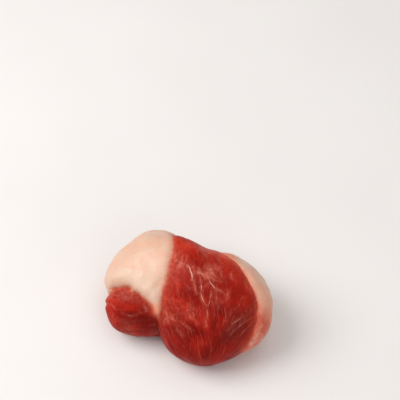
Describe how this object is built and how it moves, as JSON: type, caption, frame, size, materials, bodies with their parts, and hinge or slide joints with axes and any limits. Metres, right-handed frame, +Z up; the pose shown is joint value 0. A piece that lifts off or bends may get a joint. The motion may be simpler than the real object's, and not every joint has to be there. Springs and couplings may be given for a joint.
{
  "type": "raw beef shank",
  "caption": "Boneless chunk of raw beef shin: a large and a small muscle side by side, with a layer of pale fat over the back, between them and along one edge.",
  "frame": {"origin": "middle of the bounding box in plan, on the flat underside that the chunk rests on", "axes": "+X to the right along the chunk's longest side, +Y to the back, +Z up and shortest"},
  "size_m": [0.1074, 0.0866, 0.0575],
  "materials": {
    "lean_main": "moist raw lean meat, red with fine pale threads along its grain, softly glossy",
    "lean_small": "moist raw lean meat, darker red with curved pale threads, softly glossy",
    "fat": "smooth cream and pink fat, waxy with a soft sheen"
  },
  "bodies": {
    "root": {"muscle_main": "lean_main", "muscle_small": "lean_small", "fat_layer": "fat"}
  },
  "joints": []
}
